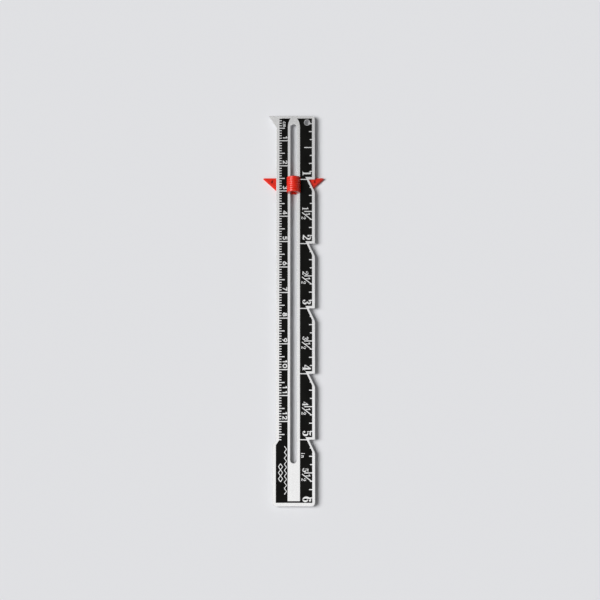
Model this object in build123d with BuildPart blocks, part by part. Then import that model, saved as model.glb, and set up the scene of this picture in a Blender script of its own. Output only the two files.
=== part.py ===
"""Six-inch sewing and knitting gauge.

A stamped aluminium blade carries an inch scale along its stepped edge and a metric
scale along its straight edge, both printed in black with the graduations left as
bare metal. A two-piece plastic slider, a ribbed grip in front and a pointer plate
behind, is pegged together through the blade's long slot and runs along it.
"""
import os
from math import hypot, radians, tan

from build123d import *

# Frame, in millimetres
# X = 0 on the centre line of the slot, +X towards the inch edge.
# Y = 0 half way along the blade, +Y towards the zero end of both scales.
# Z = 0 on the back of the pointer plate, +Z out of the printed face.

# Graduations
inch_pitch = 25.4
inch_count = 6
inch_divisions = 8
millimetre_pitch = 1.0
millimetres_per_half = 5
millimetres_per_centimetre = 10

# Stamped blade
blade_thickness = 0.8
metric_side = 6.75
inch_side = 8.25
corner_radius = 1.5
edge_roll = 0.16

# Point at the zero end of the metric edge, for turning out corners of cloth
hook_reach = 3.1
hook_depth = 4.7
hook_tip_radius = 0.25
hook_root_radius = 0.6

# Wider base, past the last notch
base_flare = 1.35
flare_start_gap = 0.2
flare_length = 1.75
flare_radius = 0.5

# Notches in the inch edge, each a square ledge and a slope back out
notch_depth = 2.4
notch_run = 5.05
notch_root_radius = 0.25
notch_shoulder_radius = 1.0
ledge_corner_radius = 0.25

# Long slot, measured from both ends of the blade
slot_width = 2.5
slot_zero_land = 3.4
slot_base_land = 16.4

# Round hole for a thread or a hook
hole_diameter = 2.1
hole_edge_inset = 3.0
hole_end_inset = 2.75

# Bare borders round the printed fields
ink_thickness = 0.05
metric_border = 1.2
inch_border = 1.1
zero_border = 1.1
end_border = 1.3
base_border = 1.35
flare_border_step = 0.1
ledge_border = 0.95
slope_border = 0.75
metric_slot_border = 1.0
inch_slot_border = 1.2
slot_arch_rise = 4.2
bare_strip_stop = 1.95

# Bare lines that graduate the printed fields
tick_width = 0.38
millimetre_tick = 0.9
five_millimetre_tick = 2.1
eighth_tick = 0.85
quarter_tick = 1.2
half_tick = 3.05
slope_tick_stub = 0.3
inch_line_width = 0.35

# Pointer plate, behind the blade
plate_reach = 12.1
plate_depth = 6.2
plate_thickness = 1.2
plate_slant = 42.4
plate_tip_radius = 0.2
plate_foot_radius = 0.6
plate_bevel = 0.5
rest_reading = 24.8

# Arrow sunk into each wing of the plate
arrow_offset = 8.3
arrow_edge_gap = 0.55
arrow_width = 1.15
arrow_height = 1.35
arrow_sink = 0.8

# Guide rib on the plate, running in the slot
rib_end_inset = 0.7
rib_clearance = 0.1

# Clearance of the slider over each face of the blade
face_clearance = 0.1

# Half-round grip, in front of the blade
grip_width = 5.4
grip_lead = 0.2
grip_foot_inset = 0.3
grip_wall = 0.5
grip_edge_radius = 0.25
grip_roof = 1.2
grip_land = 0.3
hollow_side_angle = 85
groove_count = 6
groove_pitch = 0.84
groove_depth = 0.18

# Pegs of the grip, in the sockets of the rib
peg_diameter = 1.2
peg_spacing = 2.3
peg_clearance = 0.03
peg_recess = 0.15
peg_chamfer = 0.15

# Places worked out from the sizes above
blade_length = inch_count * inch_pitch
notch_count = inch_count - 1
blade_back = plate_thickness + face_clearance
blade_face = blade_back + blade_thickness
ink_face = blade_face + ink_thickness
grip_seat = ink_face + face_clearance


def from_zero(distance):
    """Y of a place that far from the zero end of the blade."""
    return blade_length / 2 - distance


base_end = from_zero(blade_length)
base_side = metric_side + base_flare
flare_start = notch_count * inch_pitch + flare_start_gap
notch_root = inch_side - notch_depth
ledges = [from_zero(inch * inch_pitch) for inch in range(1, inch_count)]
slot_length = blade_length - slot_zero_land - slot_base_land
slot_middle = from_zero(slot_zero_land + slot_length / 2)
slot_end_centre = from_zero(slot_zero_land + slot_width / 2)
hole_centre = (inch_side - hole_edge_inset, from_zero(hole_end_inset))

# Corners of the blade, clockwise from the tip of the hook: x, y and corner radius
blade_corners = [
    (-metric_side - hook_reach, from_zero(0), hook_tip_radius),
    (inch_side, from_zero(0), corner_radius),
]
for ledge in ledges:
    blade_corners += [
        (inch_side, ledge, ledge_corner_radius),
        (notch_root, ledge, notch_root_radius),
        (inch_side, ledge - notch_run, notch_shoulder_radius),
    ]
blade_corners += [
    (inch_side, base_end, corner_radius),
    (-base_side, base_end, corner_radius),
    (-base_side, from_zero(flare_start + flare_length), flare_radius),
    (-metric_side, from_zero(flare_start), flare_radius),
    (-metric_side, from_zero(hook_depth), hook_root_radius),
]

# Blade: one stamping, with the front edges rolled by the punch
with BuildPart() as gauge_blade:
    with BuildSketch(Plane.XY.offset(blade_back)):
        with BuildLine():
            FilletPolyline(
                *[(x, y) for x, y, radius in blade_corners],
                radius=[radius for x, y, radius in blade_corners],
                close=True,
            )
        make_face()
        with Locations((0, slot_middle)):
            SlotOverall(slot_length, slot_width, rotation=90, mode=Mode.SUBTRACT)
        with Locations(hole_centre):
            Circle(hole_diameter / 2, mode=Mode.SUBTRACT)
    extrude(amount=blade_thickness)
    fillet(gauge_blade.faces().sort_by(Axis.Z)[-1].edges(), edge_roll)

# Printed fields: their sides follow the outline of the blade, inside a bare border
metric_field_left = -metric_side + metric_border
metric_field_right = -slot_width / 2 - metric_slot_border
inch_field_left = slot_width / 2 + inch_slot_border
inch_field_right = inch_side - inch_border
base_field_left = -base_side + base_border
field_top = from_zero(zero_border)
field_bottom = base_end + end_border
centimetre = millimetres_per_centimetre * millimetre_pitch
half_centimetre = millimetres_per_half * millimetre_pitch
last_notch = notch_count * inch_pitch
millimetre_count = round(last_notch / millimetre_pitch)
centimetre_count = millimetre_count // millimetres_per_centimetre
panel_start = centimetre_count * centimetre

# Metric field: one cell for each centimetre, graduated from the bare border inwards.
# A bare channel holds the slot, and its end arches over the end of the slot
with BuildPart() as metric_scale_print:
    with BuildSketch(Plane.XY.offset(blade_face)):
        with Locations((0, field_top)):
            Rectangle(-metric_field_left, panel_start - zero_border, align=Align.MAX)
        with Locations((0, slot_end_centre)):
            Ellipse(-metric_field_right, slot_arch_rise, mode=Mode.SUBTRACT)
            Rectangle(
                -metric_field_right,
                slot_end_centre - from_zero(panel_start),
                align=Align.MAX,
                mode=Mode.SUBTRACT,
            )
        ticks = (
            (millimetre_tick, millimetre_pitch),
            (five_millimetre_tick, half_centimetre),
            (metric_field_right - metric_field_left, centimetre),
        )
        for length, pitch in ticks:
            count = round(panel_start / pitch)
            with Locations((metric_field_left, from_zero(pitch * (count + 1) / 2))):
                with GridLocations(0, pitch, 1, count):
                    Rectangle(
                        length,
                        tick_width,
                        align=(Align.MIN, Align.CENTER),
                        mode=Mode.SUBTRACT,
                    )
    extrude(amount=ink_thickness)

# Base panel: the last few millimetres of the metric scale, the bare name panel and
# the band that runs under the bare strip
with BuildPart() as base_panel_print:
    with BuildSketch(Plane.XY.offset(blade_face)):
        panel_top = from_zero(panel_start + tick_width / 2)
        widening = from_zero(flare_start + flare_border_step)
        with BuildLine():
            Polyline(
                (metric_field_left, panel_top),
                (metric_field_right, panel_top),
                (metric_field_right, base_end + bare_strip_stop),
                (inch_field_left, base_end + bare_strip_stop),
                (inch_field_left, field_bottom),
                (base_field_left, field_bottom),
                (base_field_left, widening - flare_length),
                (metric_field_left, widening),
                close=True,
            )
        make_face()
        panel_ticks = millimetre_count - centimetre_count * millimetres_per_centimetre
        first_tick = panel_start + millimetre_pitch
        last_tick = panel_start + panel_ticks * millimetre_pitch
        with Locations((metric_field_left, from_zero((first_tick + last_tick) / 2))):
            with GridLocations(0, millimetre_pitch, 1, panel_ticks):
                Rectangle(
                    millimetre_tick,
                    tick_width,
                    align=(Align.MIN, Align.CENTER),
                    mode=Mode.SUBTRACT,
                )
        with Locations((metric_field_left, from_zero(panel_start + half_centimetre))):
            Rectangle(
                five_millimetre_tick,
                tick_width,
                align=(Align.MIN, Align.CENTER),
                mode=Mode.SUBTRACT,
            )
    extrude(amount=ink_thickness)

# Bare band round a notch, from the notch's inner corner: it keeps the ledge border
# above the ledge and the slope border, square to the slope, beside it
slope_lean = notch_depth / notch_run
slope_offset = slope_border * hypot(notch_depth, notch_run) / notch_run
band_outer = notch_depth
band_foot = (notch_depth - inch_border + slope_offset) / slope_lean
notch_band = [
    (band_outer, ledge_border),
    (-slope_offset - ledge_border * slope_lean, ledge_border),
    (-slope_offset + band_foot * slope_lean, -band_foot),
    (band_outer, -band_foot),
]
inch_line_reach = notch_root - slope_offset - inch_field_left
slope_tick_drop = inch_pitch / inch_divisions
slope_tick_left = -slope_offset + slope_tick_drop * slope_lean - slope_tick_stub

# Inch field: one cell for each inch, with the same bare channel and arch on its side
with BuildPart() as inch_scale_print:
    with BuildSketch(Plane.XY.offset(blade_face)):
        with Locations((0, field_top)):
            Rectangle(inch_field_right, field_top - field_bottom, align=(Align.MIN, Align.MAX))
        with Locations((0, slot_end_centre)):
            Ellipse(inch_field_left, slot_arch_rise, mode=Mode.SUBTRACT)
            Rectangle(
                inch_field_left,
                slot_end_centre - field_bottom,
                align=(Align.MIN, Align.MAX),
                mode=Mode.SUBTRACT,
            )
        with Locations(hole_centre):
            Circle(hole_diameter / 2 + edge_roll, mode=Mode.SUBTRACT)
        with Locations(*[(notch_root, ledge) for ledge in ledges]):
            Polygon(*notch_band, mode=Mode.SUBTRACT)
        with Locations(*[(inch_field_left, ledge) for ledge in ledges]):
            Rectangle(
                inch_line_reach,
                inch_line_width,
                align=(Align.MIN, Align.CENTER),
                mode=Mode.SUBTRACT,
            )
        slope_tick_starts = [(notch_root + slope_tick_left, ledge - slope_tick_drop) for ledge in ledges]
        with Locations(*slope_tick_starts):
            Rectangle(
                slope_tick_stub + slope_border,
                tick_width,
                align=(Align.MIN, Align.CENTER),
                mode=Mode.SUBTRACT,
            )
        ticks = (
            (eighth_tick, inch_divisions),
            (quarter_tick, inch_divisions // 2),
            (half_tick, inch_divisions // 4),
        )
        for length, divisions in ticks:
            with Locations((inch_field_right, from_zero(blade_length / 2))):
                with GridLocations(0, inch_pitch / divisions, 1, inch_count * divisions - 1):
                    Rectangle(
                        length,
                        tick_width,
                        align=(Align.MAX, Align.CENTER),
                        mode=Mode.SUBTRACT,
                    )
    extrude(amount=ink_thickness)

# Slider, with its reading edge at the rest reading
reading_edge = from_zero(rest_reading)
plate_foot = reading_edge - plate_depth
plate_foot_reach = plate_reach - plate_depth / tan(radians(plate_slant))
rib_middle = reading_edge - plate_depth / 2
rib_width = slot_width - 2 * rib_clearance
rib_length = plate_depth - 2 * rib_end_inset
peg_places = [(0, rib_middle - peg_spacing / 2), (0, rib_middle + peg_spacing / 2)]

# Pointer plate: its straight top edge reads both scales, and its rib fills the slot
plate_corners = [
    (-plate_reach, reading_edge),
    (plate_reach, reading_edge),
    (plate_foot_reach, plate_foot),
    (-plate_foot_reach, plate_foot),
]
plate_radii = [plate_tip_radius, plate_tip_radius, plate_foot_radius, plate_foot_radius]

with BuildPart() as pointer_plate:
    with BuildSketch():
        Polygon(*plate_corners)
    extrude(amount=plate_thickness)
    front_edges = pointer_plate.faces().sort_by(Axis.Z)[-1].edges()
    chamfer(front_edges.filter_by(Axis.X, reverse=True), plate_bevel)
    with BuildSketch():
        with BuildLine():
            FilletPolyline(*plate_corners, radius=plate_radii, close=True)
        make_face()
    extrude(amount=plate_thickness, mode=Mode.INTERSECT)
    with BuildSketch(Plane.XY.offset(plate_thickness)):
        arrow_tip = reading_edge - arrow_edge_gap
        with Locations((-arrow_offset, arrow_tip), (arrow_offset, arrow_tip)):
            Polygon(
                (0, 0),
                (-arrow_width / 2, -arrow_height),
                (arrow_width / 2, -arrow_height),
            )
    extrude(amount=-arrow_sink, mode=Mode.SUBTRACT)
    with BuildSketch(Plane.XY.offset(plate_thickness)):
        with Locations((0, rib_middle)):
            SlotOverall(rib_length, rib_width, rotation=90)
    extrude(amount=grip_seat - plate_thickness)
    with BuildSketch():
        with Locations(*peg_places):
            Circle(peg_diameter / 2 + peg_clearance)
    extrude(amount=grip_seat, mode=Mode.SUBTRACT)

# Grip: a half-round thumb piece with grooves across it, hollow along its middle, so
# that it stands on two feet on the rib, and two pegs hanging from its roof
grip_top = reading_edge + grip_lead
grip_length = plate_depth + grip_lead - grip_foot_inset
grip_middle = grip_top - grip_length / 2
grip_radius = grip_width / 2
arch_spring = grip_seat + grip_wall
hollow_width = rib_width - 2 * grip_land
hollow_crest = arch_spring + grip_radius - grip_roof

with BuildPart() as slider_grip:
    with BuildSketch(Plane.XZ.offset(-grip_top)):
        with BuildLine():
            Polyline(
                (-grip_radius, arch_spring),
                (-grip_radius, grip_seat),
                (grip_radius, grip_seat),
                (grip_radius, arch_spring),
            )
            CenterArc((0, arch_spring), grip_radius, 0, 180)
        make_face()
    extrude(amount=grip_length)
    end_faces = slider_grip.faces().filter_by(Axis.Y)
    fillet(end_faces.edges().filter_by(GeomType.CIRCLE), grip_edge_radius)
    with BuildSketch(Plane.YZ):
        with Locations((grip_middle, arch_spring + grip_radius)):
            with GridLocations(groove_pitch, 0, groove_count, 1):
                RegularPolygon(groove_depth, 4)
    arch_axis = Axis((0, grip_middle, arch_spring), (0, 1, 0))
    revolve(axis=arch_axis, mode=Mode.SUBTRACT)
    with BuildSketch(Plane.XZ.offset(-grip_top)):
        with Locations((0, grip_seat)):
            Trapezoid(
                hollow_width,
                hollow_crest - grip_seat,
                hollow_side_angle,
                align=(Align.CENTER, Align.MIN),
            )
    extrude(amount=grip_length, mode=Mode.SUBTRACT)
    with BuildSketch(Plane.XY.offset(peg_recess)):
        with Locations(*peg_places):
            Circle(peg_diameter / 2)
    extrude(amount=hollow_crest + grip_roof / 2 - peg_recess)
    peg_ends = slider_grip.faces().sort_by(Axis.Z)[:2]
    chamfer(peg_ends.edges(), peg_chamfer)

pieces = {
    "gauge_blade": gauge_blade,
    "metric_scale_print": metric_scale_print,
    "base_panel_print": base_panel_print,
    "inch_scale_print": inch_scale_print,
    "pointer_plate": pointer_plate,
    "slider_grip": slider_grip,
}
os.makedirs("parts", exist_ok=True)
for name, piece in pieces.items():
    piece.part.label = name
    export_step(piece.part, f"parts/{name}.step")
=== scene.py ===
"""Looks of a six-inch sewing and knitting gauge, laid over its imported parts.

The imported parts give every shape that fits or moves. This add-on gives them their
finishes, lays the bare-metal numerals and marks on the black print, and sets the
floor, the light and the camera.
"""
from math import cos, pi, radians, sin

import bpy
import numpy as np
from bpy.props import FloatProperty, FloatVectorProperty, IntProperty, PointerProperty
from bpy.types import Operator, Panel, PropertyGroup
from mathutils import Matrix, Vector


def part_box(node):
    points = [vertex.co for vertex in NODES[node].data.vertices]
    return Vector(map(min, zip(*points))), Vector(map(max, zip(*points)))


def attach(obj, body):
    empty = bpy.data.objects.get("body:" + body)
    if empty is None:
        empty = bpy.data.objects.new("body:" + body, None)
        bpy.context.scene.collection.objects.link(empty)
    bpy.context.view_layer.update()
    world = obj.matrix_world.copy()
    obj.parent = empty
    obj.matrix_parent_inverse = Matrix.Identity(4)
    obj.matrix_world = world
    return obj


bl_info = {
    "name": "Sewing gauge looks",
    "version": (1, 0, 0),
    "blender": (4, 5, 0),
    "location": "View3D > Sidebar > Gauge",
    "description": "Finishes, numerals, marks and stage for a six-inch sewing gauge",
    "category": "Object",
}

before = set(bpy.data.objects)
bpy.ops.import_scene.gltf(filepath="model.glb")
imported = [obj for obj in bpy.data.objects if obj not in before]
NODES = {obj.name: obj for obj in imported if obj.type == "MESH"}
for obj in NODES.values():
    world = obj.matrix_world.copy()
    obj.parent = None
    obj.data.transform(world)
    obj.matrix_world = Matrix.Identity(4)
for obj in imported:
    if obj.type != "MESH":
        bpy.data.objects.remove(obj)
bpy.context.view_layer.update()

MM = 0.001
INCH = 25.4 * MM
CENTIMETRE = 10 * MM

# Inch lines that have a half inch after them, and centimetre lines that have a numeral
HALVED_INCHES = 5
CENTIMETRES = 12

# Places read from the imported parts. The inch print arches in over the end of the slot,
# so its inner edge beside the slot is read from the base panel, which ends in line with it.
ZERO_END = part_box("gauge_blade")[1].y
INK_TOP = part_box("inch_scale_print")[1].z
INCH_FIELD_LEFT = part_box("base_panel_print")[1].x
METRIC_FIELD_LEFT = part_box("metric_scale_print")[0].x
PANEL_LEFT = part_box("base_panel_print")[0].x

# Height of the bare marks over the print, how far they sink into it, and the step
# that keeps overlapping strokes of one mark off each other
MARK_RISE = 0.012 * MM
MARK_SINK = 0.01 * MM
STROKE_STEP = 0.001 * MM

# Rows along a curved stroke, round an oval and across a round terminal, and the share
# of a half turn that is left off each end of a terminal, where its width runs out
STROKE_ROWS = 28
OVAL_ROWS = 9
BALL_ROWS = 13
BALL_TRIM = 0.06

# Camera, floor and sky. The sky changes along one horizontal direction.
SENSOR_WIDTH = 36.0
CLIP_START = 10 * MM
FLOOR_DROP = 0.01 * MM
FLOOR_ROUGHNESS = 0.9
NEAR_LEFT = (-0.6, -0.8, 0.0)


# Shapes

def smooth_rows(rows, samples):
    """Rows along the uniform Catmull-Rom curve through the given rows.

    Between rows b and c, with neighbours a and d, the row at u from 0 to 1 is
    (2b + (c - a)u + (2a - 5b + 4c - d)u^2 + (3b - a - 3c + d)u^3) / 2. A loop, whose
    last row repeats its first, takes its end neighbours from round the loop.
    """
    rows = np.asarray(rows, float)
    looped = np.allclose(rows[0], rows[-1])
    before = rows[-2] if looped else 2 * rows[0] - rows[1]
    behind = rows[1] if looped else 2 * rows[-1] - rows[-2]
    padded = np.vstack([before, rows, behind])
    place = np.linspace(0, len(rows) - 1, samples)
    start = np.minimum(place.astype(int), len(rows) - 2)
    u = (place - start)[:, None]
    a, b, c, d = (padded[start + step] for step in range(4))
    cubic = (3 * b - a - 3 * c + d) * u ** 3
    return (2 * b + (c - a) * u + (2 * a - 5 * b + 4 * c - d) * u ** 2 + cubic) / 2


def stroke(rows, bottom, top):
    """Flat strip of changing width, as a grid of four-cornered rings along its path.

    Each row gives x, y and width. The strip's edges are path(t) plus and minus half
    the width along the path's unit normal, at the two heights. A loop, whose last row
    repeats its first, has one normal there, square to the line between its neighbours.
    """
    path, width = rows[:, :2], np.abs(rows[:, 2:])
    along = np.gradient(path, axis=0)
    if np.allclose(rows[0], rows[-1]):
        along[[0, -1]] = path[1] - path[-2]
    along /= np.linalg.norm(along, axis=1, keepdims=True)
    half = np.stack([-along[:, 1], along[:, 0]], axis=1) * width / 2
    flat = np.stack([path - half, path + half, path + half, path - half], axis=1)
    heights = np.broadcast_to(np.array([bottom, bottom, top, top])[:, None], flat.shape[:2] + (1,))
    return np.concatenate([flat, heights], axis=2)


def piece(name, grids, material, body):
    """One closed mesh of bare metal from grids of rings, riding on a body.

    Quads join each ring to the next. A loop, whose last ring repeats its first, is
    joined round, and each end of any other grid is closed by one face. From the grid's
    middle, each triangle's first corner is dotted with the cross product of its other
    two. Their sum over the quads is six times the volume, but for the small end faces,
    and where it is negative, the grid is wound the other way.
    """
    vertices, faces, count = [], [], 0
    for grid in grids:
        looped = np.allclose(grid[0], grid[-1])
        grid = grid[:-1] if looped else grid
        rows, ring, _ = grid.shape
        index = np.arange(rows * ring).reshape(rows, ring)
        here = index if looped else index[:-1]
        onward = np.roll(index, -1, axis=0) if looped else index[1:]
        corners = [here, np.roll(here, -1, axis=1), np.roll(onward, -1, axis=1), onward]
        quads = np.stack(corners, axis=-1).reshape(-1, 4)
        points = grid.reshape(-1, 3)
        middle = points - points.mean(axis=0)
        a, b, c, d = (middle[quads[:, corner]] for corner in range(4))
        sixfold = np.einsum("ij,ij->", a, np.cross(b, c)) + np.einsum("ij,ij->", a, np.cross(c, d))
        ends = [] if looped else [index[0][::-1], index[-1]]
        if sixfold < 0:
            quads = quads[:, ::-1]
            ends = [end[::-1] for end in ends]
        vertices.append(points)
        faces += (quads + count).tolist() + [(end + count).tolist() for end in ends]
        count += len(points)
    mesh = bpy.data.meshes.new(name)
    mesh.from_pydata(np.vstack(vertices).tolist(), [], faces)
    mesh.materials.append(material)
    mesh.validate()
    mesh.update()
    item = bpy.data.objects.new(name, mesh)
    bpy.context.scene.collection.objects.link(item)
    mirror_sky(item)
    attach(item, body)


# Numerals and marks, as strokes of x, y and width in shares of the mark's height

def loop_shares(x, y, half_width, half_height, width):
    """Closed oval stroke: rows at x + half_width cos(turn), y + half_height sin(turn)."""
    turn = np.linspace(0, 2 * pi, OVAL_ROWS)
    widths = np.full(OVAL_ROWS, width)
    return np.stack([x + half_width * np.cos(turn), y + half_height * np.sin(turn), widths], axis=1)


def ball_shares(x, y, radius):
    """Round terminal: a stroke whose width at x - radius cos(turn) is 2 radius sin(turn)."""
    turn = np.linspace(BALL_TRIM * pi, (1 - BALL_TRIM) * pi, BALL_ROWS)
    middles = np.full(BALL_ROWS, y)
    return np.stack([x - radius * np.cos(turn), middles, 2 * radius * np.sin(turn)], axis=1)


SERIF_SHARES = {
    "1": [
        [(0.31, 1.00, 0.15), (0.31, 0.80, 0.20), (0.31, 0.35, 0.20), (0.31, 0.15, 0.21), (0.31, 0.07, 0.32)],
        [(0.31, 0.09, 0.26), (0.31, 0.04, 0.46), (0.31, 0.00, 0.56)],
        [(0.05, 0.83, 0.03), (0.14, 0.87, 0.10), (0.26, 0.96, 0.09)],
    ],
    "2": [
        [
            (0.05, 0.70, 0.04), (0.08, 0.84, 0.05), (0.18, 0.95, 0.06), (0.33, 0.97, 0.08),
            (0.49, 0.88, 0.17), (0.54, 0.72, 0.22), (0.48, 0.53, 0.18), (0.34, 0.37, 0.12),
            (0.17, 0.20, 0.09), (0.06, 0.06, 0.08),
        ],
        [
            (0.03, 0.06, 0.09), (0.16, 0.11, 0.17), (0.33, 0.10, 0.19), (0.50, 0.08, 0.16),
            (0.59, 0.13, 0.09), (0.62, 0.27, 0.03),
        ],
        ball_shares(0.15, 0.70, 0.115),
    ],
    "3": [
        [
            (0.08, 0.84, 0.04), (0.15, 0.94, 0.05), (0.28, 0.975, 0.06), (0.42, 0.92, 0.14),
            (0.48, 0.78, 0.20), (0.41, 0.62, 0.13), (0.24, 0.54, 0.06),
        ],
        [
            (0.24, 0.55, 0.06), (0.40, 0.49, 0.13), (0.51, 0.28, 0.22), (0.43, 0.08, 0.14),
            (0.28, 0.025, 0.06), (0.13, 0.07, 0.06), (0.05, 0.18, 0.04),
        ],
        ball_shares(0.16, 0.82, 0.10),
        ball_shares(0.13, 0.21, 0.11),
    ],
    "4": [
        [(0.47, 1.00, 0.10), (0.47, 0.86, 0.19), (0.47, 0.50, 0.21), (0.47, 0.16, 0.21), (0.47, 0.07, 0.30)],
        [(0.47, 0.09, 0.26), (0.47, 0.04, 0.38), (0.47, 0.00, 0.44)],
        [(0.46, 0.96, 0.09), (0.24, 0.62, 0.09), (0.03, 0.28, 0.08)],
        [(0.00, 0.27, 0.09), (0.67, 0.27, 0.09)],
    ],
    "5": [
        [(0.12, 0.99, 0.04), (0.24, 0.90, 0.15), (0.38, 0.88, 0.18), (0.52, 0.93, 0.10), (0.60, 0.99, 0.03)],
        [(0.13, 0.99, 0.06), (0.11, 0.76, 0.07), (0.10, 0.52, 0.06)],
        [
            (0.10, 0.54, 0.05), (0.20, 0.61, 0.06), (0.33, 0.62, 0.09), (0.48, 0.53, 0.19),
            (0.54, 0.33, 0.23), (0.46, 0.11, 0.17), (0.29, 0.025, 0.07), (0.13, 0.07, 0.06),
            (0.05, 0.18, 0.04),
        ],
        ball_shares(0.13, 0.21, 0.11),
    ],
    "6": [
        [
            (0.58, 0.86, 0.04), (0.52, 0.95, 0.05), (0.40, 0.975, 0.06), (0.23, 0.84, 0.16),
            (0.12, 0.52, 0.23), (0.15, 0.22, 0.21), (0.26, 0.06, 0.12), (0.36, 0.025, 0.06),
        ],
        [
            (0.34, 0.025, 0.06), (0.48, 0.07, 0.13), (0.56, 0.30, 0.21), (0.48, 0.54, 0.13),
            (0.36, 0.60, 0.06), (0.25, 0.56, 0.05), (0.18, 0.46, 0.04),
        ],
        ball_shares(0.49, 0.84, 0.105),
    ],
}

PLAIN_SHARES = {
    "0": [loop_shares(0.46, 0.50, 0.37, 0.40, 0.20)],
    "1": [
        [(0.37, 1.00, 0.20), (0.37, 0.00, 0.20)],
        [(0.04, 0.72, 0.15), (0.19, 0.80, 0.19), (0.33, 0.96, 0.14)],
    ],
    "2": [
        [
            (0.09, 0.68, 0.19), (0.17, 0.84, 0.20), (0.40, 0.91, 0.20), (0.64, 0.82, 0.20),
            (0.64, 0.58, 0.20), (0.38, 0.30, 0.19), (0.12, 0.08, 0.19),
        ],
        [(0.04, 0.09, 0.18), (0.79, 0.09, 0.18)],
    ],
    "3": [
        [(0.10, 0.80, 0.18), (0.33, 0.91, 0.19), (0.60, 0.83, 0.20), (0.58, 0.62, 0.19), (0.34, 0.53, 0.17)],
        [(0.34, 0.54, 0.17), (0.64, 0.46, 0.19), (0.68, 0.22, 0.20), (0.40, 0.09, 0.20), (0.08, 0.19, 0.19)],
    ],
    "4": [
        [(0.62, 0.97, 0.16), (0.07, 0.30, 0.16)],
        [(0.02, 0.27, 0.17), (0.88, 0.27, 0.17)],
        [(0.61, 1.00, 0.20), (0.61, 0.00, 0.20)],
    ],
    "5": [
        [(0.20, 0.91, 0.18), (0.76, 0.91, 0.18)],
        [(0.23, 0.99, 0.17), (0.17, 0.50, 0.17)],
        [
            (0.15, 0.53, 0.16), (0.42, 0.61, 0.19), (0.68, 0.49, 0.20), (0.69, 0.22, 0.20),
            (0.41, 0.09, 0.20), (0.09, 0.18, 0.19),
        ],
    ],
    "6": [
        loop_shares(0.45, 0.34, 0.34, 0.25, 0.20),
        [(0.60, 0.98, 0.19), (0.33, 0.72, 0.20), (0.13, 0.40, 0.20)],
    ],
    "7": [
        [(0.04, 0.91, 0.18), (0.84, 0.91, 0.18)],
        [(0.76, 0.91, 0.19), (0.52, 0.48, 0.20), (0.33, 0.00, 0.20)],
    ],
    "8": [loop_shares(0.42, 0.74, 0.25, 0.17, 0.19), loop_shares(0.42, 0.29, 0.32, 0.20, 0.20)],
    "9": [
        loop_shares(0.45, 0.66, 0.34, 0.25, 0.20),
        [(0.30, 0.02, 0.19), (0.57, 0.28, 0.20), (0.77, 0.60, 0.20)],
    ],
    "c": [
        [(0.62, 0.60, 0.18), (0.36, 0.70, 0.19), (0.11, 0.39, 0.20), (0.36, 0.08, 0.19), (0.62, 0.18, 0.18)],
    ],
    "m": [
        [(0.10, 0.76, 0.18), (0.10, 0.00, 0.18)],
        [(0.12, 0.48, 0.15), (0.22, 0.67, 0.17), (0.40, 0.62, 0.18), (0.44, 0.40, 0.18), (0.44, 0.00, 0.18)],
        [(0.46, 0.48, 0.15), (0.56, 0.67, 0.17), (0.74, 0.62, 0.18), (0.78, 0.40, 0.18), (0.78, 0.00, 0.18)],
    ],
    "i": [[(0.10, 0.76, 0.18), (0.10, 0.00, 0.18)], ball_shares(0.10, 0.97, 0.11)],
    "n": [
        [(0.10, 0.76, 0.18), (0.10, 0.00, 0.18)],
        [(0.12, 0.46, 0.15), (0.24, 0.67, 0.17), (0.44, 0.63, 0.18), (0.52, 0.42, 0.18), (0.52, 0.00, 0.18)],
    ],
}


def mark(strokes, height, x, y, weight=1.0):
    """Grids of one mark, centred on y along the blade and standing on x.

    The mark reads down the blade: its right is -Y and its top is +X. The share (u, v)
    lies at x + v height, y - (u - middle) height, where middle is halfway between the
    mark's two sides. Weight scales the widths of its strokes. A stroke of two rows is
    straight, and any other is smoothed. Each stroke stands one step over the last.
    """
    rows = [smooth_rows(line, STROKE_ROWS) if len(line) > 2 else np.array(line) for line in strokes]
    rows = [line * (1, 1, weight) for line in rows]
    left = min((line[:, 0] - line[:, 2] / 2).min() for line in rows)
    right = max((line[:, 0] + line[:, 2] / 2).max() for line in rows)
    middle = (left + right) / 2
    grids = []
    for step, line in enumerate(rows):
        u, v, width = line.T
        placed = np.stack([x + v * height, y - (u - middle) * height, width * height], axis=1)
        top = INK_TOP + MARK_RISE + step * STROKE_STEP
        grids.append(stroke(placed, INK_TOP - MARK_SINK, top))
    return grids


# Finishes. In each, a size is that of a pattern's lumps, a span is two levels of its
# noise, a share is a part of the colour's blend, and a swing goes either side of the
# roughness.

def fresh_material(name):
    """Empty node material with one principled shader: the material, its tree and the shader."""
    material = bpy.data.materials.new(name)
    material.use_nodes = True
    tree = material.node_tree
    tree.nodes.clear()
    output = tree.nodes.new("ShaderNodeOutputMaterial")
    shader = tree.nodes.new("ShaderNodeBsdfPrincipled")
    tree.links.new(shader.outputs["BSDF"], output.inputs["Surface"])
    return material, tree, shader


def noise(tree, size, detail, distortion=0.0):
    """Noise of the Object coordinates over size, so its lumps are about size metres long."""
    place = tree.nodes.new("ShaderNodeTexCoord")
    scale = tree.nodes.new("ShaderNodeMapping")
    scale.inputs["Scale"].default_value = [1 / length for length in size]
    texture = tree.nodes.new("ShaderNodeTexNoise")
    texture.inputs["Scale"].default_value = 1.0
    texture.inputs["Detail"].default_value = detail
    texture.inputs["Distortion"].default_value = distortion
    tree.links.new(place.outputs["Object"], scale.inputs["Vector"])
    tree.links.new(scale.outputs["Vector"], texture.inputs["Vector"])
    return texture.outputs["Fac"]


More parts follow.
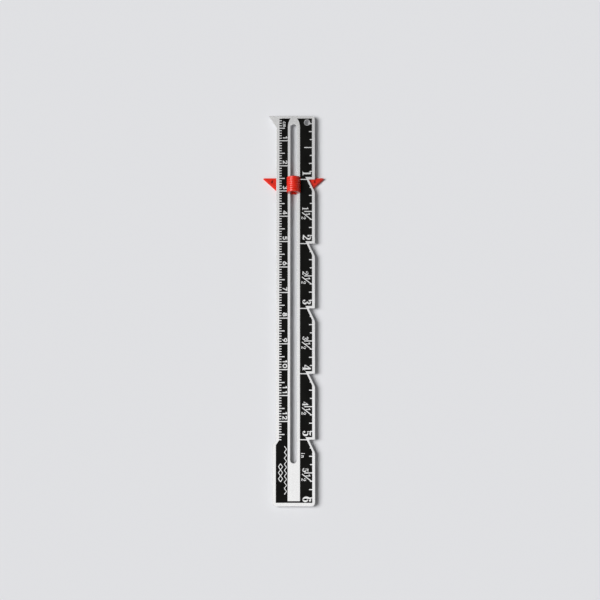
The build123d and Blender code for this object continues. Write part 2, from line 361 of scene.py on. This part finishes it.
def spread(tree, value, low, high, to_low, to_high):
    """Value from low..high carried smoothly to to_low..to_high.

    With t the share of the way from low to high, kept from 0 to 1, the result is
    to_low + (to_high - to_low)(3t^2 - 2t^3).
    """
    node = tree.nodes.new("ShaderNodeMapRange")
    node.interpolation_type = "SMOOTHSTEP"
    tree.links.new(value, node.inputs["Value"])
    for socket, number in zip(("From Min", "From Max", "To Min", "To Max"), (low, high, to_low, to_high)):
        node.inputs[socket].default_value = number
    return node.outputs["Result"]


def combine(tree, operation, first, second):
    """Sum, product or other named operation on two values; the second may be a number."""
    node = tree.nodes.new("ShaderNodeMath")
    node.operation = operation
    tree.links.new(first, node.inputs[0])
    if isinstance(second, (int, float)):
        node.inputs[1].default_value = second
    else:
        tree.links.new(second, node.inputs[1])
    return node.outputs["Value"]


def blend_colours(tree, share, low, high):
    """Colour low + share (high - low), with the share from 0 to 1."""
    node = tree.nodes.new("ShaderNodeMix")
    node.data_type = "RGBA"
    tree.links.new(share, node.inputs["Factor"])
    node.inputs["A"].default_value = (*low, 1.0)
    node.inputs["B"].default_value = (*high, 1.0)
    return node.outputs["Result"]


def hairlines(tree, size, width):
    """Thin lines: 1 where stretched noise is at its middle level, 0 from width off it."""
    middle = 0.5
    value = noise(tree, size, detail=1.0)
    gap = combine(tree, "ABSOLUTE", combine(tree, "SUBTRACT", value, middle), 0.0)
    return spread(tree, gap, 0.0, width, 1.0, 0.0)


def relief(tree, shader, height, depth):
    """Bump in the shader's normal, which raises the surface by height times depth metres."""
    node = tree.nodes.new("ShaderNodeBump")
    node.inputs["Strength"].default_value = 1.0
    node.inputs["Distance"].default_value = depth
    tree.links.new(height, node.inputs["Height"])
    tree.links.new(node.outputs["Normal"], shader.inputs["Normal"])


def rolled_aluminium(finish):
    """Satin sheet: rolling grain along Y, faint cloudiness and a few fine scratches.

    Grain and cloud together brighten the colour from its darkest share to the full one.
    Both swing the roughness, and the scratches polish it and cut into the grain's relief.
    """
    grain_size = (finish.grain_width, finish.grain_length, finish.grain_width)
    cloud_size = (14 * MM, 22 * MM, 14 * MM)
    scratch_size = (1.6 * MM, 60 * MM, 1.6 * MM)
    scratch_width = 0.004
    grain_share = 0.5
    cloud_share = 0.5
    tone_span = (0.35, 0.65)
    darkest = 0.90
    grain_span = (0.3, 0.7)
    grain_swing = 0.05
    cloud_span = (0.4, 0.6)
    cloud_swing = 0.03
    scratch_polish = 0.08
    scratch_depth = 0.4

    material, tree, shader = fresh_material("rolled_aluminium")
    grain = noise(tree, grain_size, detail=5.0)
    cloud = noise(tree, cloud_size, detail=3.0)
    scratch = hairlines(tree, scratch_size, scratch_width)
    tone = combine(tree, "MULTIPLY", grain, grain_share)
    tone = combine(tree, "ADD", tone, combine(tree, "MULTIPLY", cloud, cloud_share))
    low = [darkest * channel for channel in finish.metal_colour]
    colour = blend_colours(tree, spread(tree, tone, *tone_span, 0.0, 1.0), low, finish.metal_colour)
    tree.links.new(colour, shader.inputs["Base Color"])
    middle = finish.metal_roughness
    rough = spread(tree, grain, *grain_span, middle - grain_swing, middle + grain_swing)
    rough = combine(tree, "ADD", rough, spread(tree, cloud, *cloud_span, -cloud_swing, cloud_swing))
    rough = combine(tree, "SUBTRACT", rough, combine(tree, "MULTIPLY", scratch, scratch_polish))
    tree.links.new(rough, shader.inputs["Roughness"])
    height = combine(tree, "SUBTRACT", grain, combine(tree, "MULTIPLY", scratch, scratch_depth))
    relief(tree, shader, height, finish.grain_depth)
    shader.inputs["Metallic"].default_value = 1.0
    return material


def bare_metal():
    """The blade's own finish, for the marks left bare in the print."""
    return bpy.data.materials["rolled_aluminium"]


def printed_ink(finish):
    """Baked black print: a fine orange peel, slight tone changes and rubbed traces.

    Peel, cloud and rubbed traces together brighten the black up to its brightest share.
    The cloud swings the roughness, the traces polish it, and the peel is the relief.
    """
    peel_size = (0.16 * MM,) * 3
    cloud_size = (6 * MM, 9 * MM, 6 * MM)
    rub_size = (3 * MM, 21 * MM, 3 * MM)
    rub_width = 0.006
    peel_share = 0.4
    cloud_share = 0.6
    rub_share = 0.5
    tone_span = (0.35, 0.7)
    brightest = 2.2
    cloud_span = (0.35, 0.65)
    cloud_swing = 0.05
    rub_polish = 0.06

    material, tree, shader = fresh_material("printed_ink")
    peel = noise(tree, peel_size, detail=3.0)
    cloud = noise(tree, cloud_size, detail=3.0)
    rub = hairlines(tree, rub_size, rub_width)
    tone = combine(tree, "MULTIPLY", peel, peel_share)
    tone = combine(tree, "ADD", tone, combine(tree, "MULTIPLY", cloud, cloud_share))
    high = [brightest * channel for channel in finish.ink_colour]
    share = spread(tree, tone, *tone_span, 0.0, 1.0)
    share = combine(tree, "ADD", share, combine(tree, "MULTIPLY", rub, rub_share))
    tree.links.new(blend_colours(tree, share, finish.ink_colour, high), shader.inputs["Base Color"])
    middle = finish.ink_roughness
    rough = spread(tree, cloud, *cloud_span, middle - cloud_swing, middle + cloud_swing)
    rough = combine(tree, "SUBTRACT", rough, combine(tree, "MULTIPLY", rub, rub_polish))
    tree.links.new(rough, shader.inputs["Roughness"])
    relief(tree, shader, peel, finish.ink_peel)
    shader.inputs["Specular IOR Level"].default_value = finish.ink_gloss
    return material


def moulded_plastic(finish):
    """Glossy moulded red: flow marks in the colour, a fine eroded texture and light scuffs.

    Flow and scuffs together brighten the red from its darkest share to the full one. The
    flow swings the roughness, the scuffs dull it, and the fine texture is the relief.
    """
    flow_size = (2.4 * MM, 1.1 * MM, 2.4 * MM)
    flow_bend = 0.8
    texture_size = (0.09 * MM,) * 3
    scuff_size = (2.6 * MM, 0.7 * MM, 2.6 * MM)
    scuff_width = 0.006
    flow_share = 0.8
    scuff_share = 0.2
    tone_span = (0.35, 0.65)
    darkest = 0.86
    rough_span = (0.3, 0.7)
    flow_swing = 0.03
    scuff_dulling = 0.12

    material, tree, shader = fresh_material("moulded_plastic")
    flow = noise(tree, flow_size, detail=2.0, distortion=flow_bend)
    texture = noise(tree, texture_size, detail=3.0)
    scuff = hairlines(tree, scuff_size, scuff_width)
    low = [darkest * channel for channel in finish.plastic_colour]
    share = spread(tree, flow, *tone_span, 0.0, flow_share)
    share = combine(tree, "ADD", share, combine(tree, "MULTIPLY", scuff, scuff_share))
    tree.links.new(blend_colours(tree, share, low, finish.plastic_colour), shader.inputs["Base Color"])
    middle = finish.plastic_roughness
    rough = spread(tree, flow, *rough_span, middle - flow_swing, middle + flow_swing)
    rough = combine(tree, "ADD", rough, combine(tree, "MULTIPLY", scuff, scuff_dulling))
    tree.links.new(rough, shader.inputs["Roughness"])
    relief(tree, shader, texture, finish.plastic_texture)
    shader.inputs["Specular IOR Level"].default_value = finish.plastic_gloss
    return material


def mirror_sky(item):
    """Leave a bare-metal object out of the key lamp's light, so that it mirrors the sky alone."""
    spared = bpy.data.objects["key_lamp"].light_linking.receiver_collection
    spared.objects.link(item)
    for entry in spared.collection_objects:
        entry.light_linking.link_state = "EXCLUDE"


def dress(material, *names):
    """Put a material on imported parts."""
    for name in names:
        slots = NODES[name].data.materials
        slots.clear()
        slots.append(material)


# Sizes and colours

class GaugeFinish(PropertyGroup):
    """Colours and textures of the blade, the print and the slider."""

    metal_colour: FloatVectorProperty(
        name="Metal",
        description="Colour of the bare sheet",
        subtype="COLOR",
        default=(0.93, 0.93, 0.93),
        min=0,
        max=1,
    )
    metal_roughness: FloatProperty(
        name="Metal roughness", description="Roughness of the satin sheet", default=0.2, min=0, max=1
    )
    grain_width: FloatProperty(
        name="Grain width",
        description="Width of a streak of the rolling grain",
        default=0.12 * MM,
        unit="LENGTH",
    )
    grain_length: FloatProperty(
        name="Grain length",
        description="Length of a streak along the blade",
        default=9 * MM,
        unit="LENGTH",
    )
    grain_depth: FloatProperty(
        name="Grain depth", description="Relief of the rolling grain", default=0.004 * MM, unit="LENGTH"
    )
    ink_colour: FloatVectorProperty(
        name="Print",
        description="Colour of the black print",
        subtype="COLOR",
        default=(0.0024, 0.0024, 0.0021),
        min=0,
        max=1,
    )
    ink_roughness: FloatProperty(
        name="Print roughness", description="Roughness of the print", default=0.42, min=0, max=1
    )
    ink_gloss: FloatProperty(
        name="Print gloss", description="Specular level of the print", default=0.05, min=0, max=1
    )
    ink_peel: FloatProperty(
        name="Print relief",
        description="Depth of the print's orange peel",
        default=0.004 * MM,
        unit="LENGTH",
    )
    plastic_colour: FloatVectorProperty(
        name="Slider",
        description="Colour of the slider",
        subtype="COLOR",
        default=(0.72, 0.018, 0.004),
        min=0,
        max=1,
    )
    plastic_roughness: FloatProperty(
        name="Slider roughness", description="Roughness of the slider", default=0.28, min=0, max=1
    )
    plastic_gloss: FloatProperty(
        name="Slider gloss", description="Specular level of the slider", default=0.38, min=0, max=1
    )
    plastic_texture: FloatProperty(
        name="Slider relief",
        description="Depth of the slider's fine texture",
        default=0.003 * MM,
        unit="LENGTH",
    )


class GaugeMarks(PropertyGroup):
    """Heights and places of the numerals and marks."""

    inch_height: FloatProperty(
        name="Inch numerals",
        description="Height of the whole-inch numerals",
        default=3.2 * MM,
        unit="LENGTH",
    )
    inch_base: FloatProperty(
        name="Inch base",
        description="From the print's inner edge to the foot of a numeral",
        default=1.05 * MM,
        unit="LENGTH",
    )
    inch_leads: FloatVectorProperty(
        name="Inch leads",
        description="From the middle of each numeral, 1 to 6, to its inch line",
        size=6,
        default=(2.34 * MM, 2.5 * MM, 2.52 * MM, 2.4 * MM, 2.44 * MM, 2.63 * MM),
        unit="LENGTH",
    )
    half_height: FloatProperty(
        name="Half-inch numerals",
        description="Height of the half-inch numerals",
        default=2.3 * MM,
        unit="LENGTH",
    )
    half_base: FloatProperty(
        name="Half base",
        description="From the print's inner edge to their foot",
        default=0.95 * MM,
        unit="LENGTH",
    )
    half_lead: FloatProperty(
        name="Half lead",
        description="From their middle to the half-inch line",
        default=1.1 * MM,
        unit="LENGTH",
    )
    half_weight: FloatProperty(
        name="Half weight",
        description="Stroke width of the half-inch numerals against the inch ones",
        default=0.86,
    )
    fraction_height: FloatProperty(
        name="Fraction figures",
        description="Height of the small figures of a half",
        default=1.75 * MM,
        unit="LENGTH",
    )
    fraction_upper: FloatVectorProperty(
        name="Upper figure",
        description="Its foot from the print's inner edge, and its middle past the half-inch line",
        size=2,
        default=(2.2 * MM, 0.88 * MM),
        unit="LENGTH",
    )
    fraction_lower: FloatVectorProperty(
        name="Lower figure",
        description="Its foot from the print's inner edge, and its middle past the half-inch line",
        size=2,
        default=(0.58 * MM, 2.54 * MM),
        unit="LENGTH",
    )
    slash_ends: FloatVectorProperty(
        name="Slash ends",
        description="Both ends, each from the print's inner edge and past the half-inch line",
        size=4,
        default=(0.82 * MM, 0.42 * MM, 4.28 * MM, 3.12 * MM),
        unit="LENGTH",
    )
    slash_width: FloatProperty(
        name="Slash",
        description="Width of the stroke between the figures",
        default=0.34 * MM,
        unit="LENGTH",
    )
    centimetre_height: FloatProperty(
        name="Centimetre numerals",
        description="Height of the centimetre numerals",
        default=1.8 * MM,
        unit="LENGTH",
    )
    centimetre_base: FloatProperty(
        name="Centimetre base",
        description="From the metric print's outer edge to their foot",
        default=1.32 * MM,
        unit="LENGTH",
    )
    centimetre_lead: FloatProperty(
        name="Centimetre lead",
        description="From a centimetre line to the square cell of its nearest figure",
        default=0.5 * MM,
        unit="LENGTH",
    )
    figure_pitch: FloatProperty(
        name="Figure pitch",
        description="From one figure of 10, 11 and 12 to the other, in heights",
        default=1.05,
    )
    unit_height: FloatProperty(
        name="Unit marks", description="Height of the unit marks", default=1.35 * MM, unit="LENGTH"
    )
    letter_pitch: FloatProperty(
        name="Letter pitch",
        description="From one letter of a unit mark to the next, in heights",
        default=0.85,
    )
    metric_unit_lead: FloatProperty(
        name="Metric unit lead",
        description="From the zero end to the first letter of the metric scale's unit",
        default=2.8 * MM,
        unit="LENGTH",
    )
    inch_unit_lead: FloatProperty(
        name="Inch unit lead",
        description="From the fifth inch line to the first letter of the inch scale's unit",
        default=5.3 * MM,
        unit="LENGTH",
    )
    inch_unit_base: FloatProperty(
        name="Inch unit base",
        description="From the inch print's inner edge to the foot of its unit",
        default=0.4 * MM,
        unit="LENGTH",
    )
    stitch_width: FloatProperty(
        name="Stitch width",
        description="Width of the stitch ornament's strokes",
        default=0.3 * MM,
        unit="LENGTH",
    )
    stitch_length: FloatProperty(
        name="Stitch length",
        description="Along the blade, from one turn of the stitches to the next",
        default=1.15 * MM,
        unit="LENGTH",
    )
    zigzag: FloatVectorProperty(
        name="Zigzag",
        description="From the panel's outer edge, swing to the right, and start past the zero end",
        size=3,
        default=(3.25 * MM, 0.85 * MM, 129.5 * MM),
        unit="LENGTH",
    )
    zigzag_turns: IntProperty(
        name="Zigzag turns",
        description="Turns of the zigzag stitch, its ends among them",
        default=17,
        min=2,
    )
    diamonds: FloatVectorProperty(
        name="Diamonds",
        description="From the panel's outer edge, swing to each side, and start past the zero end",
        size=3,
        default=(1.8 * MM, 0.8 * MM, 136.2 * MM),
        unit="LENGTH",
    )
    diamond_turns: IntProperty(
        name="Diamond turns",
        description="Turns of the diamond stitch, its ends among them",
        default=7,
        min=2,
    )


class GaugeStage(PropertyGroup):
    """Camera, floor and light."""

    lens: FloatProperty(
        name="Lens", description="Focal length on a 36 mm sensor", default=139.714, min=1
    )
    distance: FloatProperty(
        name="Camera distance",
        description="From the camera to its aim",
        default=900 * MM,
        unit="LENGTH",
    )
    tilt: FloatProperty(
        name="Camera tilt",
        description="From straight down towards the base end",
        default=radians(9.3277),
        unit="ROTATION",
    )
    aim: FloatVectorProperty(
        name="Camera aim",
        description="Point on the floor that the camera looks at",
        default=(2.475 * MM, 3.604 * MM, 0),
        unit="LENGTH",
    )
    floor_size: FloatProperty(
        name="Floor", description="Side of the floor", default=4.0, unit="LENGTH"
    )
    floor_colour: FloatVectorProperty(
        name="Floor colour",
        description="Colour of the floor",
        subtype="COLOR",
        default=(0.76, 0.765, 0.785),
        min=0,
        max=1,
    )
    key_strength: FloatProperty(
        name="Key light", description="Strength of the lamp", default=3.5, min=0
    )
    key_lean: FloatProperty(
        name="Key lean",
        description="Lean of the lamp from straight up, to the left",
        default=radians(43),
        unit="ROTATION",
    )
    key_spread: FloatProperty(
        name="Key softness",
        description="Angle that the lamp covers in the sky",
        default=radians(37),
        unit="ROTATION",
    )
    fill_low: FloatProperty(
        name="Fill, dark side",
        description="Level of the soft sky on the far right",
        default=0.06,
        min=0,
    )
    fill_high: FloatProperty(
        name="Fill, bright side",
        description="Level of the soft sky on the near left",
        default=0.24,
        min=0,
    )
    fill_span: FloatVectorProperty(
        name="Fill span",
        description="Leans to the near left between which the soft sky brightens",
        size=2,
        default=(-0.27, -0.02),
    )
    shine_low: FloatProperty(
        name="Shine, dark side",
        description="Level of the sky that gloss reflects, on the far right of overhead",
        default=0.3,
        min=0,
    )
    shine_high: FloatProperty(
        name="Shine, bright side",
        description="Level of the sky that gloss reflects, on the near left",
        default=1.06,
        min=0,
    )
    shine_span: FloatVectorProperty(
        name="Shine span",
        description="Leans to the near left between which that sky brightens",
        size=2,
        default=(-0.25, -0.1),
    )
    shine_far: FloatProperty(
        name="Shine, far right",
        description="Added to that sky low on the far right",
        default=0.45,
        min=0,
    )
    far_span: FloatVectorProperty(
        name="Far span",
        description="Leans to the near left between which the added level fades",
        size=2,
        default=(-0.6, -0.3),
    )
    shine_fall: FloatProperty(
        name="Shine, near left",
        description="Taken from that sky low on the near left",
        default=0.26,
        min=0,
    )
    near_span: FloatVectorProperty(
        name="Near span",
        description="Leans to the near left between which the fall grows",
        size=2,
        default=(0.1, 0.6),
    )


# Operators

class GAUGE_OT_stage(Operator):
    """Lay the floor, hang the lamp, light the sky and set the camera at the photographed angle"""

    bl_idname = "gauge.stage"
    bl_label = "Set the stage"

    def execute(self, context):
        stage = context.scene.gauge_stage
        scene = context.scene
        scene.view_settings.view_transform = "Standard"

        # The camera stands at aim + distance (0, -sin tilt, cos tilt) and looks at the aim
        camera = bpy.data.objects.new("camera", bpy.data.cameras.new("camera"))
        scene.collection.objects.link(camera)
        camera.data.lens = stage.lens
        camera.data.sensor_width = SENSOR_WIDTH
        camera.data.clip_start = CLIP_START
        away = Vector((0, -sin(stage.tilt), cos(stage.tilt)))
        place = Vector(stage.aim) + away * stage.distance
        camera.matrix_world = Matrix.Translation(place) @ away.to_track_quat("Z", "Y").to_matrix().to_4x4()
        scene.camera = camera

        half = stage.floor_size / 2
        mesh = bpy.data.meshes.new("floor")
        corners = [(-half, -half, 0), (half, -half, 0), (half, half, 0), (-half, half, 0)]
        mesh.from_pydata(corners, [], [(0, 1, 2, 3)])
        floor = bpy.data.objects.new("floor", mesh)
        scene.collection.objects.link(floor)
        floor.location.z = -FLOOR_DROP
        cloud_size = (90 * MM,) * 3
        darkest = 0.995
        material, tree, shader = fresh_material("pale_floor")
        cloud = noise(tree, cloud_size, detail=2.0)
        low = [darkest * channel for channel in stage.floor_colour]
        tree.links.new(blend_colours(tree, cloud, low, stage.floor_colour), shader.inputs["Base Color"])
        shader.inputs["Roughness"].default_value = FLOOR_ROUGHNESS
        shader.inputs["Specular IOR Level"].default_value = 0.0
        mesh.materials.append(material)

        # The lamp shines from the direction (-sin lean, 0, cos lean)
        lamp = bpy.data.objects.new("key_lamp", bpy.data.lights.new("key_lamp", "SUN"))
        scene.collection.objects.link(lamp)
        lamp.data.energy = stage.key_strength
        lamp.data.angle = stage.key_spread
        toward = Vector((-sin(stage.key_lean), 0, cos(stage.key_lean)))
        lamp.matrix_world = toward.to_track_quat("Z", "Y").to_matrix().to_4x4()
        lamp.light_linking.receiver_collection = bpy.data.collections.new("mirrors_sky_alone")

        self.sky(scene, stage)
        return {"FINISHED"}

    @staticmethod
    def sky(scene, stage):
        """Sky that brightens from the far right to the near left, with levels of its own for gloss.

        The lean of a direction is its dot product with the horizontal direction to the
        near left. Gloss sees the sum of three spreads of the lean: the sky's two sides,
        a rise low on the far right, and a fall low on the near left. The camera sees the
        floor's colour.
        """
        world = bpy.data.worlds.new("studio_sky")
        world.use_nodes = True
        tree = world.node_tree
        tree.nodes.clear()
        output = tree.nodes.new("ShaderNodeOutputWorld")
        place = tree.nodes.new("ShaderNodeTexCoord")
        project = tree.nodes.new("ShaderNodeVectorMath")
        project.operation = "DOT_PRODUCT"
        project.inputs[1].default_value = NEAR_LEFT
        tree.links.new(place.outputs["Generated"], project.inputs[0])
        lean = project.outputs["Value"]
        rays = tree.nodes.new("ShaderNodeLightPath")

        def background(colour, strength=None):
            """Background shader of one colour, at a linked strength or at 1."""
            node = tree.nodes.new("ShaderNodeBackground")
            node.inputs["Color"].default_value = (*colour, 1.0)
            if strength is not None:
                tree.links.new(strength, node.inputs["Strength"])
            return node.outputs["Background"]

        white = (1.0, 1.0, 1.0)
        soft = background(white, spread(tree, lean, *stage.fill_span, stage.fill_low, stage.fill_high))
        sides = spread(tree, lean, *stage.shine_span, stage.shine_low, stage.shine_high)
        far = spread(tree, lean, *stage.far_span, stage.shine_far, 0.0)
        near = spread(tree, lean, *stage.near_span, 0.0, -stage.shine_fall)
        shine = background(white, combine(tree, "ADD", combine(tree, "ADD", sides, far), near))
        plain = background(stage.floor_colour)
        glossy = combine(tree, "MAXIMUM", rays.outputs["Is Glossy Ray"], rays.outputs["Is Transmission Ray"])
        seen = soft
        for share, other in ((glossy, shine), (rays.outputs["Is Camera Ray"], plain)):
            mixed = tree.nodes.new("ShaderNodeMixShader")
            tree.links.new(share, mixed.inputs["Fac"])
            tree.links.new(seen, mixed.inputs[1])
            tree.links.new(other, mixed.inputs[2])
            seen = mixed.outputs["Shader"]
        tree.links.new(seen, output.inputs["Surface"])
        scene.world = world


class GAUGE_OT_blade(Operator):
    """Give the stamped blade its rolled aluminium"""

    bl_idname = "gauge.blade"
    bl_label = "Finish the blade"

    def execute(self, context):
        dress(rolled_aluminium(context.scene.gauge_finish), "gauge_blade")
        mirror_sky(NODES["gauge_blade"])
        return {"FINISHED"}


class GAUGE_OT_print(Operator):
    """Give the printed fields their black"""

    bl_idname = "gauge.print"
    bl_label = "Finish the print"

    def execute(self, context):
        material = printed_ink(context.scene.gauge_finish)
        dress(material, "metric_scale_print", "inch_scale_print", "base_panel_print")
        return {"FINISHED"}


class GAUGE_OT_slider(Operator):
    """Give both halves of the slider their moulded red"""

    bl_idname = "gauge.slider"
    bl_label = "Finish the slider"

    def execute(self, context):
        dress(moulded_plastic(context.scene.gauge_finish), "pointer_plate", "slider_grip")
        return {"FINISHED"}


class GAUGE_OT_inch_numerals(Operator):
    """Lay the whole-inch numerals on the inch print"""

    bl_idname = "gauge.inch_numerals"
    bl_label = "Whole-inch numerals"

    def execute(self, context):
        marks = context.scene.gauge_marks
        grids = []
        for inch, lead in enumerate(marks.inch_leads, start=1):
            y = ZERO_END - inch * INCH + lead
            grids += mark(SERIF_SHARES[str(inch)], marks.inch_height, INCH_FIELD_LEFT + marks.inch_base, y)
        piece("inch_numerals", grids, bare_metal(), "blade")
        return {"FINISHED"}


class GAUGE_OT_half_numerals(Operator):
    """Lay the numerals and fractions of the half inches on the inch print"""

    bl_idname = "gauge.half_numerals"
    bl_label = "Half-inch numerals"

    def execute(self, context):
        marks = context.scene.gauge_marks
        grids = []
        for inch in range(1, HALVED_INCHES + 1):
            line = ZERO_END - (inch + 0.5) * INCH
            figures = (
                (SERIF_SHARES[str(inch)], marks.half_height, marks.half_base, -marks.half_lead),
                (PLAIN_SHARES["1"], marks.fraction_height, *marks.fraction_upper),
                (SERIF_SHARES["2"], marks.fraction_height, *marks.fraction_lower),
            )
            for strokes, height, base, past in figures:
                grids += mark(strokes, height, INCH_FIELD_LEFT + base, line - past, marks.half_weight)
            ends = np.reshape(marks.slash_ends, (2, 2))
            widths = np.full(len(ends), marks.slash_width)
            slash = np.column_stack([INCH_FIELD_LEFT + ends[:, 0], line - ends[:, 1], widths])
            grids.append(stroke(slash, INK_TOP - MARK_SINK, INK_TOP + MARK_RISE))
        piece("half_inch_numerals", grids, bare_metal(), "blade")
        return {"FINISHED"}


class GAUGE_OT_centimetre_numerals(Operator):
    """Lay the centimetre numerals on the metric print"""

    bl_idname = "gauge.centimetre_numerals"
    bl_label = "Centimetre numerals"

    def execute(self, context):
        marks = context.scene.gauge_marks
        base = METRIC_FIELD_LEFT + marks.centimetre_base
        grids = []
        for centimetre in range(1, CENTIMETRES + 1):
            line = ZERO_END - centimetre * CENTIMETRE
            for place, figure in enumerate(reversed(str(centimetre))):
                heights = 0.5 + place * marks.figure_pitch
                y = line + marks.centimetre_lead + heights * marks.centimetre_height
                grids += mark(PLAIN_SHARES[figure], marks.centimetre_height, base, y)
        piece("centimetre_numerals", grids, bare_metal(), "blade")
        return {"FINISHED"}


class GAUGE_OT_unit_marks(Operator):
    """Lay a plain unit mark on each scale"""

    bl_idname = "gauge.unit_marks"
    bl_label = "Unit marks"

    def execute(self, context):
        marks = context.scene.gauge_marks
        last_line = ZERO_END - HALVED_INCHES * INCH
        words = (
            ("cm", METRIC_FIELD_LEFT + marks.centimetre_base, ZERO_END - marks.metric_unit_lead),
            ("in", INCH_FIELD_LEFT + marks.inch_unit_base, last_line - marks.inch_unit_lead),
        )
        pitch = marks.letter_pitch * marks.unit_height
        grids = []
        for word, base, y in words:
            for place, letter in enumerate(word):
                grids += mark(PLAIN_SHARES[letter], marks.unit_height, base, y - place * pitch)
        piece("unit_marks", grids, bare_metal(), "blade")
        return {"FINISHED"}


class GAUGE_OT_stitches(Operator):
    """Lay a zigzag stitch and a short diamond stitch on the base panel's print"""

    bl_idname = "gauge.stitches"
    bl_label = "Stitch ornament"

    def execute(self, context):
        marks = context.scene.gauge_marks
        middle, reach, head = marks.diamonds
        threads = (
            (*marks.zigzag, marks.zigzag_turns),
            (middle, reach, head, marks.diamond_turns),
            (middle, -reach, head, marks.diamond_turns),
        )
        grids = []
        for lift, (foot, swing, start, turns) in enumerate(threads):
            turn = np.arange(turns)
            x = PANEL_LEFT + foot + swing * (turn % 2)
            y = ZERO_END - start - turn * marks.stitch_length
            path = np.stack([x, y, np.full(turns, marks.stitch_width)], axis=1)
            grids.append(stroke(path, INK_TOP - MARK_SINK, INK_TOP + MARK_RISE + lift * STROKE_STEP))
        piece("stitch_ornament", grids, bare_metal(), "blade")
        return {"FINISHED"}


OPERATORS = (
    GAUGE_OT_stage,
    GAUGE_OT_blade,
    GAUGE_OT_print,
    GAUGE_OT_slider,
    GAUGE_OT_inch_numerals,
    GAUGE_OT_half_numerals,
    GAUGE_OT_centimetre_numerals,
    GAUGE_OT_unit_marks,
    GAUGE_OT_stitches,
)


class GAUGE_PT_panel(Panel):
    """Everything of the gauge in the sidebar."""

    bl_idname = "GAUGE_PT_panel"
    bl_label = "Sewing gauge"
    bl_space_type = "VIEW_3D"
    bl_region_type = "UI"
    bl_category = "Gauge"

    def draw(self, context):
        for operator in OPERATORS:
            self.layout.operator(operator.bl_idname)
        for group in (context.scene.gauge_finish, context.scene.gauge_marks, context.scene.gauge_stage):
            box = self.layout.box()
            for name in group.__annotations__:
                box.prop(group, name)


GROUPS = {"gauge_finish": GaugeFinish, "gauge_marks": GaugeMarks, "gauge_stage": GaugeStage}


def register():
    """Register the groups, operators and panel, and hang the groups on the scene."""
    for cls in (*GROUPS.values(), *OPERATORS, GAUGE_PT_panel):
        bpy.utils.register_class(cls)
    for name, group in GROUPS.items():
        setattr(bpy.types.Scene, name, PointerProperty(type=group))


def unregister():
    """Take everything off again."""
    for name in GROUPS:
        delattr(bpy.types.Scene, name)
    for cls in (GAUGE_PT_panel, *reversed(OPERATORS), *GROUPS.values()):
        bpy.utils.unregister_class(cls)


def main():
    """Dress the gauge."""
    register()
    bpy.ops.gauge.stage()
    bpy.ops.gauge.blade()
    bpy.ops.gauge.print()
    bpy.ops.gauge.slider()
    bpy.ops.gauge.inch_numerals()
    bpy.ops.gauge.half_numerals()
    bpy.ops.gauge.centimetre_numerals()
    bpy.ops.gauge.unit_marks()
    bpy.ops.gauge.stitches()


if __name__ == "__main__":
    main()
